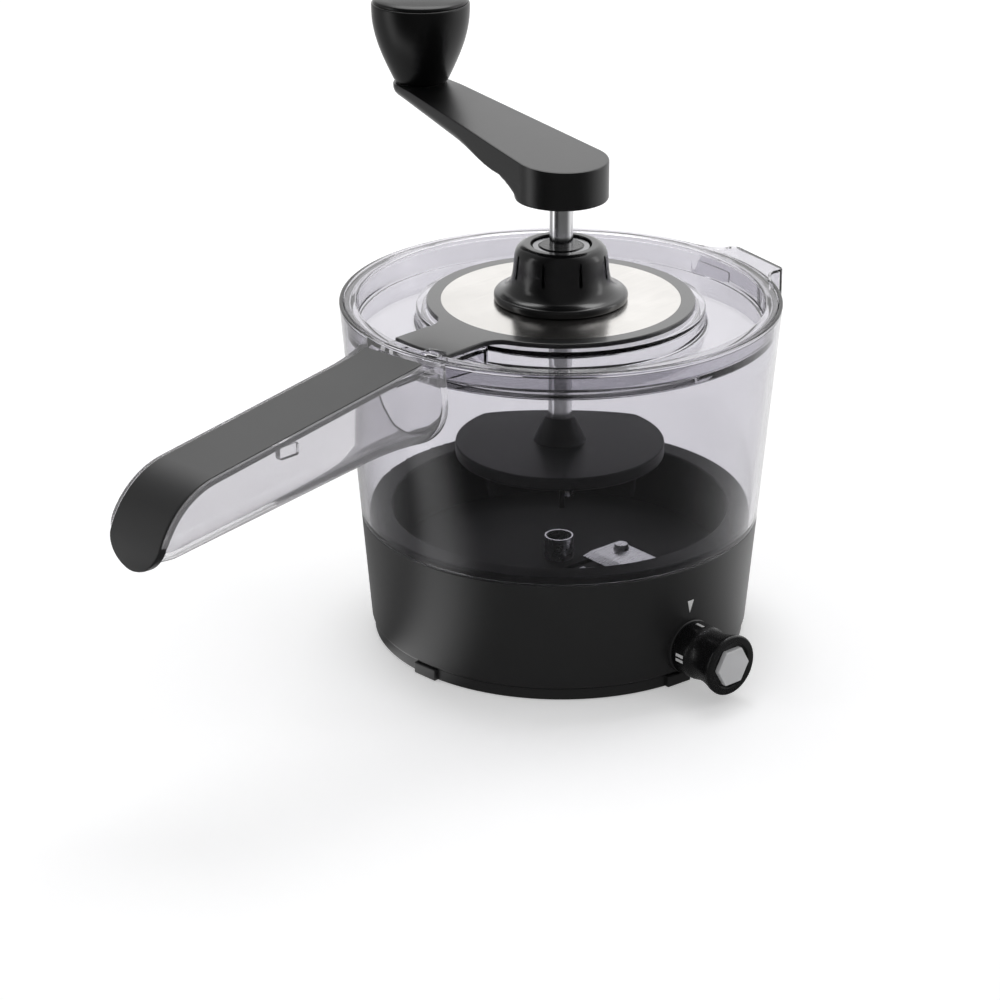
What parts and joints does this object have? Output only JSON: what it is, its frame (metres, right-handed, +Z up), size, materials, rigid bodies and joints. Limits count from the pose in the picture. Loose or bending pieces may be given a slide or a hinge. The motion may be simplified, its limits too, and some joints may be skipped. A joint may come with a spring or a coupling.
{
  "type": "spiralizer",
  "caption": "Hand-cranked vegetable spiralizer: clear tapered container with a trough handle, black cutting base with a selector knob, and a clear lid that guides the crank and food holder.",
  "frame": {"origin": "on the crank axis, in the plane of the foot ring's underside", "axes": "+Z up along the crank axis, the handle points along -X, the selector knob points close to -Y"},
  "size_m": [0.2727, 0.196, 0.2051],
  "materials": {
    "clear_plastic": "clear moulded plastic with a faint cool tint",
    "black_plastic": "satin moulded black",
    "soft_grey": "soft-touch charcoal",
    "gloss_black": "glossy black",
    "brushed_disc": "fine brushed stainless steel",
    "polished_steel": "polished",
    "blade_steel": "ground blade steel",
    "pale_grey": "pale grey moulded cap",
    "white_mark": "white inlaid mark",
    "bush_plastic": "plain bearing plastic"
  },
  "bodies": {
    "housing": {"container": "clear_plastic", "handle_shell": "clear_plastic", "handle_strip": "soft_grey", "base": "black_plastic", "plate_seat": "black_plastic", "foot_ring": "black_plastic", "pointer_mark": "white_mark", "cutting_plate": "black_plastic", "main_blade": "blade_steel", "blade_screws": "blade_steel", "plate_screws": "blade_steel", "core_tube": "blade_steel", "hub_bush": "bush_plastic", "drum_bush": "bush_plastic"},
    "selector": {"selector_knob": "black_plastic", "selector_cap": "pale_grey", "selector_marks": "white_mark", "cutter_drum": "black_plastic", "drum_clip": "blade_steel", "comb_12mm": "blade_steel", "comb_6mm": "blade_steel", "comb_3mm": "blade_steel", "comb_2mm": "blade_steel"},
    "lid": {"lid_shell": "clear_plastic", "lid_inlay": "soft_grey", "lid_disc": "brushed_disc", "guide_collar": "black_plastic", "collar_bush": "polished_steel", "collar_nut": "black_plastic"},
    "sleeve": {"guide_sleeve": "black_plastic", "sleeve_clip": "polished_steel", "shaft_ring": "soft_grey"},
    "crank": {"crank_shaft": "polished_steel", "crank_arm": "black_plastic", "arm_pin": "polished_steel", "grip_spindle": "polished_steel", "food_holder": "black_plastic", "holder_pin": "polished_steel"},
    "grip": {"grip_knob": "gloss_black", "grip_cap": "gloss_black"}
  },
  "joints": [
    {"name": "selector_turn", "type": "hinge", "parent": "housing", "child": "selector", "pos_m": [0, 0, 0.0135], "axis": [-0.0872, -0.9962, 0], "continuous": true},
    {"name": "lid_lift", "type": "slide", "parent": "housing", "child": "lid", "axis": [0, 0, 1], "range_m": [0, 0.13]},
    {"name": "crank_turn", "type": "hinge", "parent": "lid", "child": "sleeve", "pos_m": [0, 0, 0.13], "axis": [0, 0, 1], "continuous": true},
    {"name": "crank_feed", "type": "slide", "parent": "sleeve", "child": "crank", "axis": [0, 0, 1], "range_m": [-0.015, 0.028]},
    {"name": "grip_spin", "type": "hinge", "parent": "crank", "child": "grip", "pos_m": [0.0225, 0.09024, 0.18], "axis": [0, 0, 1], "continuous": true}
  ]
}
